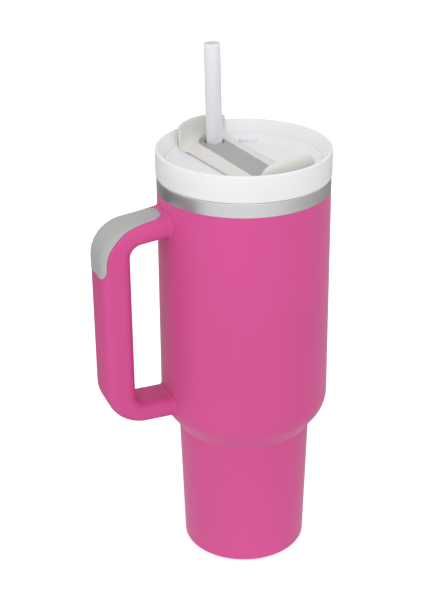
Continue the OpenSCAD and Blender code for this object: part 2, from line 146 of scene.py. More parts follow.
def corner(a, b, c, radius):
    """The arc that rounds corner b between a and c"""
    a, b, c = (np.array(p, float) for p in (a, b, c))
    u = (a - b) / np.linalg.norm(a - b)
    v = (c - b) / np.linalg.norm(c - b)
    half = math.acos(np.clip(u @ v, -1, 1)) / 2
    middle = b + (u + v) / np.linalg.norm(u + v) * radius / math.sin(half)
    first = b + u * radius / math.tan(half) - middle
    last = b + v * radius / math.tan(half) - middle
    start = math.atan2(first[1], first[0])
    turn = (math.atan2(last[1], last[0]) - start + 3 * math.pi) % (2 * math.pi) - math.pi
    count = max(3, math.ceil(abs(turn) / math.radians(7)))
    angles = start + turn * np.arange(count + 1) / count
    return [tuple(middle + radius * np.array([math.cos(t), math.sin(t)])) for t in angles]


def rounded(corners):
    """A closed outline from (r, z) or (r, z, rounding radius) corners"""
    out = []
    for i, p in enumerate(corners):
        if len(p) == 2:
            out.append(p)
            continue
        before, after = corners[i - 1], corners[(i + 1) % len(corners)]
        out += corner(before[:2], p[:2], after[:2], p[2])
    return out


def lathe(outline, segments=192):
    """Points and faces of a closed outline turned about the z axis"""
    turn = np.linspace(0, 2 * math.pi, segments, endpoint=False)
    points, rings = [], []
    for r, z in outline:
        if r < 1e-6:
            rings.append([len(points)] * segments)
            points.append((0, 0, z))
        else:
            rings.append(range(len(points), len(points) + segments))
            points += [(r * math.cos(t), r * math.sin(t), z) for t in turn]
    faces = []
    for a, b in zip(rings, rings[1:] + rings[:1]):
        for k in range(segments):
            face = dict.fromkeys((a[k], a[(k + 1) % segments], b[(k + 1) % segments], b[k]))
            if len(face) > 2:
                faces.append(list(face))
    return points, faces


def loft(rings, closed=False):
    """Points and faces of a skin over rings of as many points each, with both ends closed"""
    n, last = len(rings[0]), len(rings) - 1
    points = [p for ring in rings for p in ring]
    faces = [(i * n + k, i * n + (k + 1) % n, (i + 1) * n + (k + 1) % n, (i + 1) * n + k)
             for i in range(last) for k in range(n)]
    if closed:
        faces += [(last * n + k, last * n + (k + 1) % n, (k + 1) % n, k) for k in range(n)]
    else:
        faces += [list(range(n))[::-1], [last * n + k for k in range(n)]]
    return points, faces


def shown_skin(field, low, high, cell, rounds=3):
    """Points and faces of the surface where a field is zero. The field is negative inside."""
    axes = [np.arange(a, b + cell, cell) for a, b in zip(low, high)]
    value = field(np.stack(np.meshgrid(*axes, indexing="ij"), -1))
    inside = value < 0
    shape = np.array(value.shape)
    total = np.zeros(tuple(shape) + (3,))
    count = np.zeros(tuple(shape))
    crossings = []
    for d in range(3):
        first = np.take(value, range(shape[d] - 1), d)
        second = np.take(value, range(1, shape[d]), d)
        at = np.argwhere((first < 0) != (second < 0))
        a, b = first[tuple(at.T)], second[tuple(at.T)]
        spot = at.astype(float)
        spot[:, d] += a / (a - b)
        e, f = np.eye(3, dtype=int)[(d + 1) % 3], np.eye(3, dtype=int)[(d + 2) % 3]
        cells = [at, at - e, at - e - f, at - f]
        for c in cells:
            np.add.at(total, tuple(c.T), spot)
            np.add.at(count, tuple(c.T), 1)
        crossings.append((cells, a < 0))
    used = count > 0
    index = np.full(tuple(shape), -1)
    index[used] = np.arange(used.sum())
    points = np.array(low) + cell * total[used] / count[used][:, None]
    for _ in range(rounds):
        points = points - onto(field, points, cell)
    faces = []
    for cells, outward in crossings:
        quad = np.stack([index[tuple(c.T)] for c in cells], 1)
        faces += quad[outward].tolist() + quad[~outward][:, ::-1].tolist()
    return points, faces


def onto(field, points, cell):
    """The step that carries points onto the zero surface of a field"""
    small = 0.02
    value = field(points)
    slope = np.stack([(field(points + small * axis) - field(points - small * axis)) / (2 * small)
                      for axis in np.eye(3)], -1)
    step = value[:, None] * slope / np.maximum((slope ** 2).sum(1), 0.2)[:, None]
    length = np.linalg.norm(step, axis=1)[:, None]
    return step * np.minimum(1, 0.5 * cell / np.maximum(length, 1e-9))


def blend_out(a, b, k):
    """Smooth union of two fields"""
    h = np.clip(0.5 + 0.5 * (b - a) / k, 0, 1)
    return b * (1 - h) + a * h - k * h * (1 - h)


def blend_in(a, b, k):
    """Smooth intersection of two fields"""
    return -blend_out(-a, -b, k)


def turned(points, degrees):
    """Points turned about the z axis"""
    t = math.radians(degrees)
    p = np.asarray(points, float)
    x = p[..., 0] * math.cos(t) - p[..., 1] * math.sin(t)
    y = p[..., 0] * math.sin(t) + p[..., 1] * math.cos(t)
    return np.stack([x, y, p[..., 2]], -1)


def on_straw(points):
    """Points given along the straw, z = 0 level with the panel, carried to their place"""
    p = np.asarray(points, float)
    x = p[..., 0] * math.cos(STRAW_LEAN) + p[..., 2] * math.sin(STRAW_LEAN)
    z = p[..., 2] * math.cos(STRAW_LEAN) - p[..., 0] * math.sin(STRAW_LEAN)
    return turned(np.stack([x + STRAW_OUT, p[..., 1], z + PANEL_Z], -1), BAR_ANGLE)


def cut(obj, *cutters):
    """Takes the cutters away from the piece and deletes them"""
    for cutter in cutters:
        mod = obj.modifiers.new("cut", "BOOLEAN")
        mod.operation = "DIFFERENCE"
        mod.solver = "EXACT"
        mod.object = cutter
    apply_all(obj)
    for cutter in cutters:
        bpy.data.objects.remove(cutter)
    shade(obj)


def apply_all(obj):
    """Puts the modifiers into the mesh"""
    shown = obj.evaluated_get(bpy.context.evaluated_depsgraph_get())
    mesh = bpy.data.meshes.new_from_object(shown)
    old = obj.data
    obj.modifiers.clear()
    obj.data = mesh
    mesh.name = obj.name
    bpy.data.meshes.remove(old)


def join(obj, *others):
    """Puts the others' meshes into the piece"""
    tool = bmesh.new()
    tool.from_mesh(obj.data)
    for other in others:
        tool.from_mesh(other.data)
        bpy.data.objects.remove(other)
    tool.to_mesh(obj.data)
    tool.free()
    shade(obj)


def prism(name, plan, low, high):
    """A straight-sided cutter over a plan outline"""
    return make_piece(name, *loft([[(x, y, z) for x, y in plan] for z in (low, high)]))


def circle(radius, x=0, y=0, count=64):
    return [(x + radius * math.cos(t), y + radius * math.sin(t))
            for t in np.linspace(0, 2 * math.pi, count, endpoint=False)]


# ---------------------------------------------------------------- materials

class Paint:
    """A material's node tree, with object coordinates in metres"""

    def __init__(self, name, **sockets):
        self.material = bpy.data.materials.new(name)
        self.material.use_nodes = True
        self.tree = self.material.node_tree
        self.shader = self.tree.nodes["Principled BSDF"]
        for socket, value in sockets.items():
            self.shader.inputs[socket.replace("_", " ")].default_value = value
        self.place = self.add("ShaderNodeTexCoord").outputs["Object"]

    def add(self, kind, **values):
        node = self.tree.nodes.new(kind)
        for key, value in values.items():
            setattr(node, key, value)
        return node

    def link(self, out, into):
        self.tree.links.new(out, into)

    def noise(self, scale, detail=3, stretch=(1, 1, 1), rough=0.5):
        mapping = self.add("ShaderNodeMapping")
        mapping.inputs["Scale"].default_value = stretch
        self.link(self.place, mapping.inputs["Vector"])
        node = self.add("ShaderNodeTexNoise")
        node.inputs["Scale"].default_value = scale
        node.inputs["Detail"].default_value = detail
        node.inputs["Roughness"].default_value = rough
        self.link(mapping.outputs["Vector"], node.inputs["Vector"])
        return node.outputs["Fac"]

    def spread(self, value, low, high, start=0.3, stop=0.7):
        node = self.add("ShaderNodeMapRange")
        node.inputs["From Min"].default_value = start
        node.inputs["From Max"].default_value = stop
        node.inputs["To Min"].default_value = low
        node.inputs["To Max"].default_value = high
        self.link(value, node.inputs["Value"])
        return node.outputs["Result"]

    def tint(self, value, first, second, start=0.35, stop=0.65):
        node = self.add("ShaderNodeValToRGB")
        node.color_ramp.elements[0].position = start
        node.color_ramp.elements[0].color = (*first, 1)
        node.color_ramp.elements[1].position = stop
        node.color_ramp.elements[1].color = (*second, 1)
        self.link(value, node.inputs["Fac"])
        return node.outputs["Color"]

    def colour(self, out):
        self.link(out, self.shader.inputs["Base Color"])

    def colour_product(self, first, second):
        """The base colour is one colour times the other"""
        mixed = self.add("ShaderNodeMix", data_type="RGBA", blend_type="MULTIPLY")
        mixed.inputs["Factor"].default_value = 1
        self.link(first, mixed.inputs[6])
        self.link(second, mixed.inputs[7])
        self.colour(mixed.outputs[2])

    def roughness(self, out):
        self.link(out, self.shader.inputs["Roughness"])

    def bump(self, *heights):
        """Each height is (value, height in metres)"""
        normal = None
        for value, height in heights:
            node = self.add("ShaderNodeBump")
            node.inputs["Strength"].default_value = 1
            node.inputs["Distance"].default_value = height
            self.link(value, node.inputs["Height"])
            if normal:
                self.link(normal, node.inputs["Normal"])
            normal = node.outputs["Normal"]
        self.link(normal, self.shader.inputs["Normal"])
        return self.material


def shades(colour, change):
    """A slightly darker and a slightly lighter version of a colour"""
    return [tuple(min(1, c * k) for c in colour) for k in (1 - change, 1 + change)]


def powder_coat():
    """Matt coat with faint sheen, fine speckle and orange peel"""
    paint = Paint("pink_powder_coat", Specular_IOR_Level=0.3, Sheen_Weight=0.25, Sheen_Roughness=0.4)
    drift = paint.noise(9, 2)
    speckle = paint.noise(1400, 2)
    paint.colour_product(paint.tint(drift, *shades(PINK, 0.03)),
                         paint.tint(speckle, (0.97, 0.965, 0.97), (1, 1, 1)))
    paint.roughness(paint.spread(paint.noise(60, 3), 0.42, 0.5))
    return paint.bump((speckle, 0.000012), (paint.noise(420, 2), 0.00002))


def moulded_pink():
    """The handle's plastic, with flow marks along it and a finer grain than the coat"""
    paint = Paint("pink_moulded_plastic", Specular_IOR_Level=0.3)
    flow = paint.noise(14, 3, (1, 1, 0.35))
    paint.colour(paint.tint(flow, *shades(PINK_HANDLE, 0.035)))
    paint.roughness(paint.spread(paint.noise(240, 3), 0.4, 0.52))
    return paint.bump((paint.noise(1800, 2), 0.00001), (paint.noise(160, 2), 0.000018))


def brushed_steel(name, colour, rough, along_z=40, contrast=0.06):
    """Steel with fine lines round the axis, closer together with a larger along_z"""
    paint = Paint(name, Metallic=1.0, Anisotropic=0.5)
    lines = paint.noise(60, 5, (1, 1, along_z), 0.65)
    cloud = paint.noise(30, 3)
    paint.colour_product(paint.tint(lines, *shades(colour, contrast)),
                         paint.tint(cloud, (0.95, 0.95, 0.95), (1, 1, 1)))
    paint.roughness(paint.spread(lines, rough - 0.05, rough + 0.07))
    return paint.bump((lines, 0.000006))


def moulded(name, colour, rough, grain=1500, depth=0.000008, drift=0.015, **sockets):
    """Injection-moulded plastic: faint flow clouds, fine eroded grain and uneven gloss"""
    paint = Paint(name, **sockets)
    cloud = paint.noise(22, 3)
    fine = paint.noise(grain, 3)
    paint.colour_product(paint.tint(cloud, *shades(colour, drift)),
                         paint.tint(fine, (0.975, 0.975, 0.98), (1, 1, 1)))
    paint.roughness(paint.spread(paint.noise(150, 3), rough - 0.05, rough + 0.05))
    return paint.bump((fine, depth), (paint.noise(120, 2), 0.000012))


def copper_foil():
    paint = Paint("copper_foil", Metallic=1.0)
    creases = paint.noise(55, 5, (1, 1, 0.6), 0.6)
    paint.colour(paint.tint(creases, (0.62, 0.28, 0.16), (0.88, 0.50, 0.33)))
    paint.roughness(paint.spread(creases, 0.22, 0.38))
    return paint.bump((creases, 0.0004), (paint.noise(400, 3), 0.00005))


def sintered_pill():
    paint = Paint("sintered_getter", Metallic=0.4)
    grains = paint.noise(2500, 4)
    paint.colour(paint.tint(grains, (0.10, 0.105, 0.115), (0.24, 0.25, 0.27)))
    paint.roughness(paint.spread(grains, 0.7, 0.9))
    return paint.bump((grains, 0.00006))


def glass_bead():
    paint = Paint("sealing_glass", Transmission_Weight=0.6, IOR=1.5)
    cloud = paint.noise(500, 3)
    paint.colour(paint.tint(cloud, (0.30, 0.38, 0.40), (0.46, 0.55, 0.57)))
    paint.roughness(paint.spread(cloud, 0.08, 0.2))
    return paint.bump((cloud, 0.00004))


def turned_screw_steel():
    paint = Paint("screw_steel", Metallic=1.0)
    lines = paint.noise(500, 4, (1, 1, 6))
    paint.colour(paint.tint(lines, (0.36, 0.37, 0.39), (0.52, 0.53, 0.55)))
    paint.roughness(paint.spread(lines, 0.25, 0.42))
    return paint.bump((lines, 0.00001))


PINK = (0.66, 0.075, 0.285)
PINK_HANDLE = (0.63, 0.07, 0.27)
WHITE = (0.83, 0.84, 0.85)
CREAM = (0.725, 0.705, 0.675)
PANEL_GREY = (0.38, 0.38, 0.378)
INLAY_GREY = (0.42, 0.43, 0.425)

coat_paint = powder_coat()
handle_paint = moulded_pink()
band_steel = brushed_steel("brushed_band_steel", (0.66, 0.66, 0.67), 0.34, 40, 0.03)
inner_steel = brushed_steel("brushed_liner_steel", (0.56, 0.565, 0.57), 0.3, 25)
plate_steel = brushed_steel("plate_steel", (0.50, 0.505, 0.51), 0.36, 3)
white_paint = moulded("white_plastic", WHITE, 0.36, Subsurface_Weight=0.15, Subsurface_Scale=0.004,
                     Subsurface_Radius=(1, 1, 1))
floor_paint = moulded("white_cover_plastic", (0.805, 0.81, 0.825), 0.4, 1100, 0.000012)
cream_paint = moulded("cream_plastic", CREAM, 0.4, 1200, 0.00001, 0.02)
panel_paint = moulded("grey_panel_plastic", PANEL_GREY, 0.46, 2200, 0.000014)
inlay_paint = moulded("soft_grey_inlay", INLAY_GREY, 0.55, 1900, 0.00002, 0.02)
silicone_paint = moulded("clear_silicone", (0.62, 0.63, 0.63), 0.38, Transmission_Weight=0.35)
straw_paint = moulded("frosted_straw", (0.84, 0.86, 0.885), 0.34, 1700, 0.000002,
                      Subsurface_Weight=0.35, Subsurface_Scale=0.004, Subsurface_Radius=(1, 1, 1))
foil_paint = copper_foil()
getter_paint = sintered_pill()
glass_paint = glass_bead()
screw_paint = turned_screw_steel()


# ---------------------------------------------------------------- vessel

def wall_outline():
    """The outer wall's side as (height, radius) from the foot up, for finding the radius at a height"""
    bend = corner((CREASE_R, CREASE_Z), (SHOULDER_R, SHOULDER_Z), (RIM_R, BAND_Z), SHOULDER_ROUND)
    line = [(BASE_R, 0), (CREASE_R, CREASE_Z)] + bend + [(RIM_R, BAND_Z), (RIM_R, MOUTH_Z)]
    return np.array([(z, r) for r, z in line])


WALL_LINE = wall_outline()


def wall_radius(z):
    return np.interp(z, WALL_LINE[:, 0], WALL_LINE[:, 1])


def outer_wall():
    t = WALL
    outline = rounded([
        (BASE_R - FOOT_RIM, FOOT_Z), (BASE_R, FOOT_Z, FOOT_ROUND), (CREASE_R, CREASE_Z, CREASE_ROUND),
        (SHOULDER_R, SHOULDER_Z, SHOULDER_ROUND), (RIM_R, BAND_Z, 0.25), (RIM_R - t, BAND_Z),
        (SHOULDER_R - t, SHOULDER_Z, SHOULDER_ROUND), (CREASE_R - t, CREASE_Z, CREASE_ROUND),
        (BASE_R - t, FOOT_Z + t, FOOT_ROUND - t), (BASE_R - FOOT_RIM, FOOT_Z + t)])
    obj = make_piece("coated_wall", *lathe(outline, 256))
    return settle(obj, "vessel", ["outer_wall"], coat_paint)


def inner_liner():
    d, t, low = DOUBLE_WALL, WALL, LINER_FLOOR_Z
    outline = rounded([
        (0, low - t), (LINER_FOOT_R + t, low - t, LINER_FOOT_ROUND + t),
        (CREASE_R - d + t, CREASE_Z, CREASE_ROUND), (SHOULDER_R - d + t, SHOULDER_Z, SHOULDER_ROUND),
        (RIM_R - d + t, BAND_Z), (RIM_R - d, BAND_Z), (SHOULDER_R - d, SHOULDER_Z, SHOULDER_ROUND),
        (CREASE_R - d, CREASE_Z, CREASE_ROUND), (LINER_FOOT_R, low, LINER_FOOT_ROUND), (0, low)])
    obj = make_piece("liner_cup", *lathe(outline))
    return settle(obj, "vessel", ["inner_liner"], inner_steel)


def lip_ring():
    inner = RIM_R - DOUBLE_WALL
    t = WALL
    outline = rounded([
        (RIM_R - t, BAND_Z), (RIM_R, BAND_Z, 0.15), (RIM_R, MOUTH_Z, 0.9), (inner, MOUTH_Z, 0.9),
        (inner, BAND_Z), (inner + t, BAND_Z), (inner + t, MOUTH_Z - t), (RIM_R - t, MOUTH_Z - t)])
    obj = make_piece("steel_band", *lathe(outline, 256))
    return settle(obj, "vessel", ["lip_ring"], band_steel)


def base_disc():
    """Bare cover with a pressed ring and a dimple, just inside the wall's foot rim"""
    out = BASE_R - FOOT_RIM - 0.05
    outline = rounded([
        (0, 0.5), (5, 0.5, 0.6), (6.5, 0, 0.6), (24, 0, 0.4), (25, 0.4, 0.4), (27, 0.4, 0.4), (28, 0, 0.4),
        (out, 0, 0.6), (out, 3), (out - 0.8, 3), (out - 0.8, 0.8, 0.4), (28, 0.8, 0.4), (27, 1.2, 0.4),
        (25, 1.2, 0.4), (24, 0.8, 0.4), (7, 0.8, 0.5), (5.5, 1.3, 0.5), (0, 1.3)])
    obj = make_piece("base_cover", *lathe(outline, 128))
    return settle(obj, "vessel", ["base_disc"], plate_steel)


# ---------------------------------------------------------------- handle

def top_edge(s):
    return TOP_Z - TOP_SLOPE * (s - 50)


def under_edge(s):
    return UNDER_Z - UNDER_SLOPE * (s - 50)


def edge_line(face, radius, low_radius, slope, upper_z, lower_z, start_z):
    """One edge of the handle as (distance from the axis, height): bar, bend, grip, bend, bar"""
    tilt = math.atan(slope)
    upper = np.array([face - radius, upper_z - radius / math.cos(tilt)])
    lower = np.array([face - low_radius, lower_z + low_radius])
    turn = np.linspace(math.pi / 2 - tilt, 0, BEND_STEPS + 1)
    bend = [upper + radius * np.array([math.cos(t), math.sin(t)]) for t in turn]
    start = np.array([BAR_IN, start_z])
    bar = [start + (bend[0] - start) * k / BAR_STEPS for k in range(BAR_STEPS)]
    grip = [np.array([face, upper[1] + (lower[1] - upper[1]) * k / GRIP_STEPS]) for k in range(1, GRIP_STEPS)]
    turn = np.linspace(0, -math.pi / 2, BEND_STEPS + 1)
    foot = [lower + low_radius * np.array([math.cos(t), math.sin(t)]) for t in turn]
    end = np.array([BAR_IN, lower_z])
    last = [foot[-1] + (end - foot[-1]) * k / BAR_STEPS for k in range(1, BAR_STEPS + 1)]
    return np.array(bar + bend + grip + foot + last)


OUTER_LINE = edge_line(GRIP_OUTER, BEND_OUTER, BEND_OUTER_LOW, TOP_SLOPE,
                       top_edge(GRIP_OUTER - BEND_OUTER), FOOT_UNDER, top_edge(BAR_IN))
INNER_LINE = edge_line(GRIP_INNER, BEND_INNER, BEND_INNER, UNDER_SLOPE,
                       under_edge(GRIP_INNER - BEND_INNER), FOOT_TOP, under_edge(BAR_IN))


def section_round(half_depth):
    """Radius of the section's corners, which a thin section makes smaller"""
    return min(GRIP_ROUND, half_depth - 0.4)


def section(half_depth):
    """A rounded rectangle as (depth, width, normal) rows, with extra rows along its flat sides"""
    r = section_round(half_depth)
    a, b = half_depth - r, HALF_WIDTH - r
    out = []
    sides = ((0, a, b, 4), (90, -a, b, 10), (180, -a, -b, 4), (270, a, -b, 10))
    arcs = [np.array([(cu + r * math.cos(t), cv + r * math.sin(t), math.cos(t), math.sin(t))
                      for t in np.radians(start + np.linspace(0, 90, 13))]) for start, cu, cv, _ in sides]
    for k, arc in enumerate(arcs):
        after, parts = arcs[(k + 1) % 4][0], sides[k][3]
        out += list(arc[:-1]) + [arc[-1] + (after - arc[-1]) * j / parts for j in range(parts)]
    return np.array(out)


def handle_ring(a, b, grow=0.0):
    """The section between an inner point a and an outer point b, as (s, y, z)"""
    mid, out = (a + b) / 2, (b - a) / np.linalg.norm(b - a)
    rows = section(np.linalg.norm(b - a) / 2)
    u, v = rows[:, 0] + grow * rows[:, 2], rows[:, 1] + grow * rows[:, 3]
    return np.stack([mid[0] + out[0] * u, v, mid[1] + out[1] * u], -1)


def root_rings(upper):
    """Rings from the wall outwards, which flare where they meet it and then run to the plain bar"""
    rings = []
    near = [(FLARE * share, 0) for share in (0, 0.04, 0.14, 0.28, 0.47, 0.69, 0.86, 1)]
    for away, share in near + [(FLARE, 0.25), (FLARE, 0.5), (FLARE, 0.75)]:
        s0 = RIM_R + away
        top = top_edge(s0) if upper else FOOT_TOP
        under = under_edge(s0) if upper else FOOT_UNDER
        inner, outer = (under, top) if upper else (top, under)
        flare = FLARE - math.sqrt(FLARE ** 2 - (FLARE - away) ** 2)
        ring = handle_ring(np.array([s0, inner]), np.array([s0, outer]), flare)
        wall_s = np.sqrt((wall_radius(ring[:, 2]) + WALL_GAP) ** 2 - ring[:, 1] ** 2)
        s = (wall_s + away) * (1 - share) + BAR_IN * share
        slope = np.where(ring[:, 2] > (top + under) / 2, TOP_SLOPE, UNDER_SLOPE) if upper else 0
        ring[:, 2] -= slope * (s - s0)
        ring[:, 0] = s
        rings.append(ring)
    return rings


def handle_points(ring):
    return [(-s, y, z) for s, y, z in ring]


def inlay_half(length, total):
    """Half width over the handle's skin, at a distance along the inlay"""
    grow = np.clip((length - 8) / 30, 0, 1)
    half = INLAY_HALF_BAR + (INLAY_HALF_GRIP - INLAY_HALF_BAR) * grow * grow * (3 - 2 * grow)
    left = min(length, total - length, INLAY_CORNER)
    return half - INLAY_CORNER + math.sqrt(max(0, INLAY_CORNER ** 2 - (INLAY_CORNER - left) ** 2))


def inlay_shell(name, grow, proud, depth):
    """A patch round the handle's outer side: the inlay with soft edges, or with grow its larger cutter"""
    stations = inlay_stations()
    steps = np.linalg.norm(np.diff([b for a, b in stations], axis=0), axis=1)
    length = np.concatenate([[0], np.cumsum(steps)])
    total = length[-1]
    rings = []
    for i, (a, b) in enumerate(stations):
        half = inlay_half(length[i], total) + grow
        widths = np.linspace(-half, half, 29)
        rows = skin_rows(a, b, widths)
        lift = np.full(len(widths), float(proud))
        if not grow:
            fade = min(1, min(length[i], total - length[i]) / 0.7)
            edge = np.clip((half - np.abs(widths)) / 0.6, 0, 1)
            lift -= 0.3 * (1 - np.sqrt(1 - (1 - np.minimum(edge, fade)) ** 2))
        top = rows[:, :3] + rows[:, 3:] * lift[:, None]
        under = rows[:, :3] - rows[:, 3:] * depth
        rings.append(handle_points(np.concatenate([top, under[::-1]])))
    if grow:
        rings[0] = [tuple(p) for p in shifted(rings, 0, grow)]
        rings[-1] = [tuple(p) for p in shifted(rings, -1, grow)]
    return make_piece(name, *loft(rings))


def shifted(rings, which, grow):
    """The end ring moved outwards along the patch"""
    end = np.array(rings[which])
    inside = np.array(rings[1 if which == 0 else -2])
    way = end - inside
    return end + way / np.linalg.norm(way, axis=1)[:, None] * grow


def inlay_stations():
    """(inner, outer) points of the sections that the inlay covers"""
    last = BAR_STEPS + BEND_STEPS
    fine = np.array([0.02, 0.1, 0.3, 0.7, 1.3, 2.1, 3.2])
    near_wall = np.concatenate([INLAY_START + fine, [INLAY_START + 4.6],
                                np.arange(INLAY_START + 5.6, BAR_IN, 1.2)])
    stations = [(np.array([s, under_edge(s)]), np.array([s, top_edge(s)])) for s in near_wall]
    stations += list(zip(INNER_LINE[:last + 1], OUTER_LINE[:last + 1]))
    down = np.concatenate([np.arange(OUTER_LINE[last][1] - 1.5, INLAY_END_Z + 4.2, -1.5),
                           INLAY_END_Z + fine[::-1]])
    stations += [(np.array([GRIP_INNER, z]), np.array([GRIP_OUTER, z])) for z in down]
    return stations


def skin_rows(a, b, widths):
    """Points and normals on the handle's skin at distances over it from the outer middle line"""
    mid, out = (a + b) / 2, (b - a) / np.linalg.norm(b - a)
    u = np.linalg.norm(b - a) / 2
    r = section_round(u)
    flat = HALF_WIDTH - r
    w = np.abs(widths)
    angle = np.clip((w - flat) / r, 0, math.pi / 2)
    beyond = np.maximum(0, w - flat - r * math.pi / 2)
    depth = u - r + r * np.cos(angle) - beyond
    side = np.minimum(w, flat) + r * np.sin(angle)
    sign = np.sign(widths)
    normal_u, normal_v = np.cos(angle), np.sin(angle) * sign
    return np.stack([mid[0] + out[0] * depth, side * sign, mid[1] + out[1] * depth,
                     out[0] * normal_u, normal_v, out[1] * normal_u], -1)


def handle_grip():
    rings = [handle_points(r) for r in root_rings(True)]
    rings += [handle_points(handle_ring(a, b)) for a, b in zip(INNER_LINE, OUTER_LINE)]
    rings += [handle_points(r) for r in root_rings(False)[::-1]]
    obj = make_piece("moulded_handle", *loft(rings))
    cut(obj, inlay_shell("recess", INLAY_GAP, 1.0, INLAY_DEPTH + INLAY_GAP))
    return settle(obj, "vessel", ["handle_grip"], handle_paint)


def grip_inlay():
    obj = inlay_shell("soft_inlay", 0, INLAY_PROUD, INLAY_DEPTH)
    return settle(obj, "vessel", ["grip_inlay"], inlay_paint)


# ---------------------------------------------------------------- lid

def bowl_z(r):
    """Height of the recess's smooth bowl, which runs over the turning floor and the fixed lid"""
    rise = np.clip(np.asarray(r, float) - BOWL_START, 0, BOWL_R)
    return DISC_Z + DISC_T + BOWL_R - np.sqrt(BOWL_R ** 2 - rise ** 2)


def window_plan():
    """The arc window in the fixed floor that the straw moves along"""
    mid, half = STRAW_OUT - 0.2, STRAW_R + WINDOW_GAP
    start, stop = math.radians(BAR_ANGLE - 90), math.radians(BAR_ANGLE)
    turn = np.linspace(start, stop, 49)

    def arc(radius, angles):
        return [radius * np.array([math.cos(a), math.sin(a)]) for a in angles]

    def end(at, first):
        middle = arc(mid, [at])[0]
        return [middle + p for p in arc(half, np.linspace(first, first + math.pi, 17)[1:-1])]

    return arc(mid + half, turn) + end(stop, stop) + arc(mid - half, turn[::-1]) + end(start, start + math.pi)


def lid_shell():
    seam = DISC_R + 0.08
    bowl = [(r, float(bowl_z(r))) for r in (WALL_FOOT, seam + 0.15, seam)]
    outline = rounded([
        (0, FLOOR_Z - FLOOR_T), (PLUG_R, FLOOR_Z - FLOOR_T), (PLUG_R, SHADE_Z),
        (RECESS_R + RECESS_T, SHADE_Z),
        (RECESS_R + RECESS_T, SKIRT_HOLLOW_Z, 0.3), (LID_R - SKIRT_T, SKIRT_HOLLOW_Z, 0.3),
        (LID_R - SKIRT_T, SHADE_Z), (LID_R, SHADE_Z, 0.45), (LID_R, CREST_Z, CREST_ROUND),
        (LID_R - RIM_T, CREST_Z, 0.28)] + bowl + [
        (seam, bowl[-1][1] - 0.5), (RECESS_R, bowl[-1][1] - 0.5), (RECESS_R, LEDGE_Z),
        (RECESS_R - LEDGE_T, LEDGE_Z), (RECESS_R - LEDGE_T, FLOOR_Z), (0, FLOOR_Z)])
    obj = make_piece("lid_body", *lathe(outline, 256))
    low, high = FLOOR_Z - FLOOR_T - 1, FLOOR_Z + 1
    cut(obj, prism("window", window_plan(), low, high), prism("pin_hole", circle(PIN_R + 0.05), low, high))
    return settle(obj, "lid", ["lid_shell"], white_paint)


def lid_plug():
    groove = PLUG_R - 1.1
    outline = rounded([
        (PLUG_R - PLUG_T, PLUG_Z, 0.5), (PLUG_R, PLUG_Z, 0.7), (PLUG_R, GASKET_Z), (groove, GASKET_Z),
        (groove, GASKET_Z + GASKET_H), (PLUG_R, GASKET_Z + GASKET_H), (PLUG_R, FLOOR_Z - FLOOR_T),
        (PLUG_R - PLUG_T, FLOOR_Z - FLOOR_T)])
    obj = make_piece("lid_plug_ring", *lathe(outline))
    return settle(obj, "lid", ["lid_plug"], white_paint)


def lid_gasket():
    back, rib, out = PLUG_R - 1.05, GASKET_H / 4, 0.6
    outline = [(back, GASKET_Z + 0.05), (PLUG_R, GASKET_Z + 0.05)]
    for z in (GASKET_Z + rib, GASKET_Z + 3 * rib):
        turns = np.radians(np.linspace(-85, 85, 13))
        outline += [(PLUG_R + out * math.cos(t), z + out * math.sin(t)) for t in turns]
    outline += [(PLUG_R, GASKET_Z + GASKET_H - 0.05), (back, GASKET_Z + GASKET_H - 0.05)]
    obj = make_piece("lid_seal_ring", *lathe(outline))
    return settle(obj, "lid", ["lid_gasket"], silicone_paint)


# ---------------------------------------------------------------- turning cover

def round_ended(x, radius, reach, z=0):
    """A round-ended outline about a point on the x axis, long along y"""
    return np.array([(x + radius * math.cos(t), way * reach + radius * math.sin(t), z)
                     for way, start in ((1, 0), (-1, math.pi))
                     for t in np.linspace(start, start + math.pi, 17)])


def slot_plan():
    """The drinking slot's outline"""
    plan = round_ended(-SLOT_R, SLOT_HALF, SLOT_REACH) + (0, PANEL_SHIFT, 0)
    return [tuple(p[:2]) for p in turned(plan, BAR_ANGLE + PANEL_TURN)]


def straw_cutter(radius):
    rings = [on_straw([(x, y, z) for x, y in circle(radius)]).tolist() for z in (-12, 14)]
    return make_piece("straw_cutter", *loft(rings))


def cover_disc():
    top = DISC_Z + DISC_T
    cove = [(r, float(bowl_z(r))) for r in np.linspace(DISC_R, BOWL_START, 15)]
    outline = rounded([(0, DISC_Z), (DISC_R, DISC_Z, 0.3)] + cove + [(0, top)])
    obj = make_piece("turning_floor", *lathe(outline))
    cut(obj, straw_cutter(GROMMET_R + 0.01), prism("slot", slot_plan(), DISC_Z - 1, top + 2),
        prism("pin_hole", circle(PIN_R), DISC_Z - 1, top + 1))
    join(obj, position_mark(top))
    return settle(obj, "cover", ["cover_disc"], floor_paint)


def position_mark(top):
    """A low raised bar with soft edges on the rising part of the floor"""
    levels = ((0, 0), (0, MARK_H - 0.8), (0.1, MARK_H - 0.4), (0.35, MARK_H - 0.1), (0.7, MARK_H))
    rings = [turned(round_ended(MARK_R, MARK_HALF - inset, MARK_REACH, top + z), MARK_ANGLE).tolist()
             for inset, z in levels]
    return make_piece("position_mark", *loft(rings))


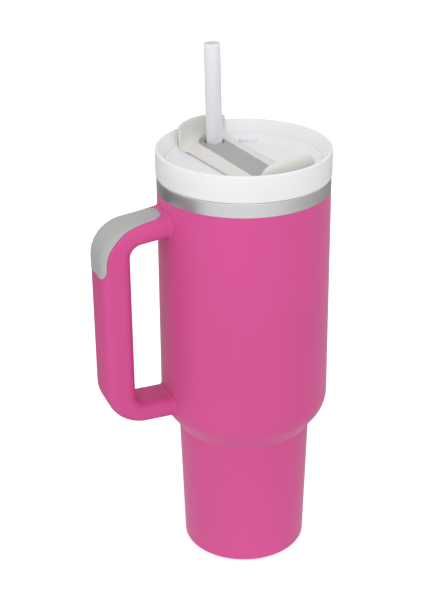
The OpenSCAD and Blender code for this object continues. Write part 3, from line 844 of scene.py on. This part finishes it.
def end_wall_field(p, degrees, half, top, slope, edge, crown_r):
    """The standing wall at one end of the bar, with a crowned top that falls outwards"""
    q = turned(p, -degrees)
    r = np.hypot(q[..., 0], q[..., 1])
    w = np.abs(q[..., 1])
    crown = top - q[..., 1] ** 2 / (2 * crown_r)
    a, b = w - (half - edge), q[..., 2] - (crown - edge)
    outline = np.minimum(np.maximum(a, b), 0) + np.hypot(np.maximum(a, 0), np.maximum(b, 0)) - edge
    bevel = (q[..., 2] - crown + slope * (r - (BAR_R - END_WALL) - 0.7)) / math.hypot(1, slope)
    inner = (BAR_R - END_WALL) - r + 0.06 * (q[..., 2] - PANEL_Z)
    shape = blend_in(outline, bevel, 1.4)
    shape = blend_in(shape, r - BAR_R, 1.0)
    shape = blend_in(shape, inner, 1.2)
    return np.maximum(shape, -q[..., 0])


def bar_field(p):
    """The cream bar, with u towards the straw and v towards the handle side"""
    u, v, z = p[..., 0], p[..., 1], p[..., 2]
    r = np.hypot(u, v)
    top = z - PANEL_Z
    for side, flange in ((v, FLANGE_LEFT), (-v, FLANGE_RIGHT)):
        fall = (PANEL_Z - EDGE_Z) / (BAR_HALF - flange)
        slope = (z - PANEL_Z + fall * (side - flange)) / math.hypot(1, fall)
        top = blend_in(top, slope, 0.5)
    body = blend_in(top, np.abs(v) - BAR_HALF, 1.3)
    body = np.maximum(body, r - (BAR_R - 0.2))
    hood = end_wall_field(p, END_TURN, HOOD_HALF, HOOD_Z, HOOD_FALL, HOOD_ROUND, HOOD_CROWN)
    lip = end_wall_field(p, 180 + END_TURN, LIP_HALF, LIP_Z, LIP_FALL, LIP_ROUND, LIP_CROWN)
    shape = blend_out(body, hood, HOOD_BLEND)
    shape = blend_out(shape, lip, LIP_BLEND)
    shape = np.maximum(shape, panel_pocket(p))
    shape = np.maximum(shape, -straw_distance(p, HOLE_R, GROMMET_TOP - PANEL_Z - 0.3))
    shape = np.maximum(shape, -straw_distance(p, GROMMET_R, -20, GROMMET_TOP - PANEL_Z))
    shape = np.maximum(shape, -slot_distance(p))
    under = np.where(np.abs(v) > BAR_HALF - 1.2, SHADOW_GAP, 0) * (r < BAR_R - END_WALL - 3)
    shape = np.maximum(shape, np.maximum(r - BAR_R, bowl_z(r) + under - z))
    return shape


def in_panel(p):
    """Distances along and across the panel"""
    q = turned(p, -PANEL_TURN)
    return q[..., 0], q[..., 1] - PANEL_SHIFT


def panel_plan(p, half, far):
    """Distance to the panel's outline, round at the straw's end and cut off at radius far"""
    u, v = in_panel(p)
    plan = np.where(u > STRAW_OUT, np.hypot(u - STRAW_OUT, v), np.abs(v)) - half
    return np.maximum(plan, np.hypot(p[..., 0], p[..., 1]) - far)


def panel_pocket(p):
    """Positive where the panel's pocket is cut"""
    plan = panel_plan(p, PANEL_HALF + 0.12, BAR_R - END_WALL)
    return -np.maximum(plan, PANEL_Z - PANEL_T - p[..., 2])


def straw_distance(p, radius, low=-99, high=99):
    """Distance to a cylinder along the straw, in the bar's own frame"""
    x, y, z = p[..., 0] - STRAW_OUT, p[..., 1], p[..., 2] - PANEL_Z
    across = x * math.cos(STRAW_LEAN) - z * math.sin(STRAW_LEAN)
    along = z * math.cos(STRAW_LEAN) + x * math.sin(STRAW_LEAN)
    return np.maximum(np.hypot(across, y) - radius, np.maximum(low - along, along - high))


def slot_distance(p):
    """Distance to the drinking slot's outline"""
    u, v = in_panel(p)
    return np.hypot(u + SLOT_R, np.maximum(np.abs(v) - SLOT_REACH, 0)) - SLOT_HALF


def cover_bar():
    low = (-BAR_R - 1.3, -26.1, DISC_Z + DISC_T - 1.03)
    high = (BAR_R + 1.3, 26, HOOD_Z + 1.5)
    points, faces = shown_skin(bar_field, low, high, 0.5, 4)
    obj = make_piece("cream_bar", turned(points, BAR_ANGLE), faces, 50)
    return settle(obj, "cover", ["cover_bar"], cream_paint)


def panel_field(p):
    """The grey panel, with soft edges round its top and its two holes"""
    z = p[..., 2]
    shape = blend_in(panel_plan(p, PANEL_HALF, BAR_R - END_WALL - 0.1), z - PANEL_Z, 0.5)
    shape = np.maximum(shape, PANEL_Z - PANEL_T - z)
    shape = blend_in(shape, -straw_distance(p, HOLE_R), 0.4)
    return blend_in(shape, -slot_distance(p), 0.4)


def cover_panel():
    low = (-BAR_R, -PANEL_HALF - 1, PANEL_Z - PANEL_T - 0.83)
    high = (BAR_R, PANEL_HALF + 5, PANEL_Z + 0.8)
    points, faces = shown_skin(panel_field, low, high, 0.35, 4)
    obj = make_piece("grey_panel", turned(points, BAR_ANGLE), faces, 50)
    return settle(obj, "cover", ["cover_panel"], panel_paint)


def straw_grommet():
    bore = STRAW_R + 0.08
    top = GROMMET_TOP - PANEL_Z
    low = DISC_Z - 0.6 - PANEL_Z
    outline = rounded([(bore, low, 0.2), (GROMMET_R - 0.05, low, 0.2), (GROMMET_R - 0.05, top - 0.1, 0.3),
                       (HOLE_R - 0.2, top, 0.2), (bore + 0.5, top + 0.6, 0.25), (bore, top + 0.3, 0.12)])
    points, faces = lathe(outline, 96)
    obj = make_piece("straw_sleeve", on_straw(points), faces)
    return settle(obj, "cover", ["straw_grommet"], silicone_paint)


# ---------------------------------------------------------------- straw

def straw():
    low = (STRAW_LOW - PANEL_Z) / math.cos(STRAW_LEAN)
    high = (STRAW_TOP - PANEL_Z) / math.cos(STRAW_LEAN)
    inner = STRAW_R - STRAW_WALL
    outline = rounded([(inner, low, 0.2), (STRAW_R, low, 0.3), (STRAW_R, high, 0.32), (inner, high, 0.32)])
    points, faces = lathe(outline, 96)
    obj = make_piece("straw_tube", on_straw(points), faces)
    return settle(obj, "straw", ["straw"], straw_paint)


# ---------------------------------------------------------------- CAD nodes that stay

def kept_nodes():
    """Inner pieces that keep their CAD shape and take a material"""
    paints = {
        "radiation_foil": foil_paint, "vacuum_floor": plate_steel, "getter": getter_paint,
        "seal_plug": glass_paint, "upper_bracket": plate_steel, "lower_bracket": plate_steel,
        "handle_screws": screw_paint, "pivot_pin": white_paint, "pivot_clip": plate_steel,
        "cover_seal": silicone_paint}
    for name, material in paints.items():
        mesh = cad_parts[name].data
        mesh.materials.clear()
        mesh.materials.append(material)


# ---------------------------------------------------------------- stage, lights, camera

STUDIO_R, FLOOR_DROP = 9000, 0.0002
FRONT = math.radians(240)
SKY_GLOW = ((0.0, 0.7), (0.5, 0.94), (1.0, 1.0))
LOWER_GLOW = ((0.0, 0.3), (0.5, 0.56), (0.86, 1.0), (1.0, 1.02))
HORIZON = (-0.05, 0.25)
FLAG_SIDE, FLAG_OUT, FLAG_HALF = math.radians(156), 300, 200
FLAG_LOW, FLAG_HIGH = 60, 150
LENS, SENSOR, SHIFT = 82.07, 36, -0.05307
CAMERA_PLACE = (-0.2805, -0.6771, 0.5138)
CAMERA_TILT, CAMERA_TURN = 64.34, -22.5


def stage():
    """A pale floor under a pale dome, so low views have a plain background too"""
    dome = [(STUDIO_R * math.cos(t), STUDIO_R * math.sin(t)) for t in np.radians(np.linspace(0, 81, 10))]
    floor = make_piece("studio_floor", *lathe([(0, 0)] + dome + [(0, STUDIO_R)], 64))
    floor.location.z = -FLOOR_DROP
    paint = Paint("pale_floor", Roughness=0.9, Specular_IOR_Level=0.0)
    paint.colour(paint.tint(paint.noise(1.5, 2), (0.93, 0.93, 0.93), (0.95, 0.95, 0.95)))
    paint.shader.inputs["Emission Color"].default_value = (1, 1, 1, 1)
    paint.shader.inputs["Emission Strength"].default_value = 0.45
    floor.data.materials.append(paint.material)
    floor.visible_glossy = False
    floor.visible_diffuse = False
    floor.visible_shadow = False


def dark_flag():
    """A black card beside the vessel that only reflections show: the left third of the band is dark"""
    out = Vector((math.cos(FLAG_SIDE), math.sin(FLAG_SIDE), 0))
    along = Vector((-out.y, out.x, 0)) * FLAG_HALF
    low, high = (out * FLAG_OUT + Vector((0, 0, z)) for z in (FLAG_LOW, FLAG_HIGH))
    flag = make_piece("dark_flag", [low - along, low + along, high + along, high - along], [(0, 1, 2, 3)])
    paint = Paint("black_card", Roughness=0.9, Specular_IOR_Level=0.0)
    paint.colour(paint.tint(paint.noise(8, 2), (0.02, 0.02, 0.02), (0.03, 0.03, 0.03)))
    flag.data.materials.append(paint.material)
    flag.visible_camera = False
    flag.visible_diffuse = False
    flag.visible_shadow = False
    flag.visible_transmission = False


def area_light(name, place, target, size, power):
    light = bpy.data.lights.new(name, "AREA")
    light.shape = "RECTANGLE"
    light.size, light.size_y = size
    light.energy = power
    obj = bpy.data.objects.new(name, light)
    obj.location = place
    obj.rotation_euler = (Vector(target) - Vector(place)).to_track_quat("-Z", "Y").to_euler()
    bpy.context.scene.collection.objects.link(obj)


def glow_ramp(tree, value, stops):
    """Grey values at positions from the back (0) to the front (1)"""
    node = tree.nodes.new("ShaderNodeValToRGB")
    node.color_ramp.interpolation = "EASE"
    ends = node.color_ramp.elements
    for (position, glow), stop in zip((stops[0], stops[-1]), ends):
        stop.position, stop.color = position, (glow, glow, glow, 1)
    for position, glow in stops[1:-1]:
        ends.new(position).color = (glow, glow, glow, 1)
    tree.links.new(value, node.inputs["Fac"])
    return node.outputs["Color"]


def room_glow():
    """The light of a pale room, brighter in front of the vessel than at its sides and back"""
    world = bpy.data.worlds.new("studio")
    bpy.context.scene.world = world
    world.use_nodes = True
    tree = world.node_tree
    link = tree.links.new
    way = tree.nodes.new("ShaderNodeTexCoord").outputs["Generated"]
    front = tree.nodes.new("ShaderNodeVectorMath")
    front.operation = "DOT_PRODUCT"
    link(way, front.inputs[0])
    front.inputs[1].default_value = (math.cos(FRONT), math.sin(FRONT), 0)
    remap = tree.nodes.new("ShaderNodeMapRange")
    remap.inputs["From Min"].default_value = -1
    link(front.outputs["Value"], remap.inputs["Value"])
    height = tree.nodes.new("ShaderNodeSeparateXYZ")
    link(way, height.inputs[0])
    rise = tree.nodes.new("ShaderNodeMapRange")
    rise.interpolation_type = "SMOOTHSTEP"
    rise.inputs["From Min"].default_value, rise.inputs["From Max"].default_value = HORIZON
    link(height.outputs["Z"], rise.inputs["Value"])
    mix = tree.nodes.new("ShaderNodeMix")
    mix.data_type = "RGBA"
    link(rise.outputs["Result"], mix.inputs["Factor"])
    link(glow_ramp(tree, remap.outputs["Result"], LOWER_GLOW), mix.inputs[6])
    link(glow_ramp(tree, remap.outputs["Result"], SKY_GLOW), mix.inputs[7])
    link(mix.outputs[2], tree.nodes["Background"].inputs["Color"])


def studio_light():
    room_glow()
    area_light("key", (-0.5, -1.6, 1.3), (0, 0, 0.15), (1.2, 1.2), 5)
    area_light("overhead", (0.1, 0.1, 1.9), (0, 0, 0.2), (1.4, 1.4), 1.2)
    bpy.context.scene.view_settings.view_transform = "Standard"


def camera():
    data = bpy.data.cameras.new("camera")
    data.lens = LENS
    data.sensor_width = SENSOR
    data.shift_x = SHIFT
    data.clip_start, data.clip_end = 0.05, 50
    obj = bpy.data.objects.new("camera", data)
    obj.location = CAMERA_PLACE
    obj.rotation_euler = (math.radians(CAMERA_TILT), 0, math.radians(CAMERA_TURN))
    bpy.context.scene.collection.objects.link(obj)
    bpy.context.scene.camera = obj


outer_wall()
inner_liner()
lip_ring()
base_disc()
handle_grip()
grip_inlay()
lid_shell()
lid_plug()
lid_gasket()
cover_disc()
cover_bar()
cover_panel()
straw_grommet()
straw()
kept_nodes()
stage()
dark_flag()
studio_light()
camera()
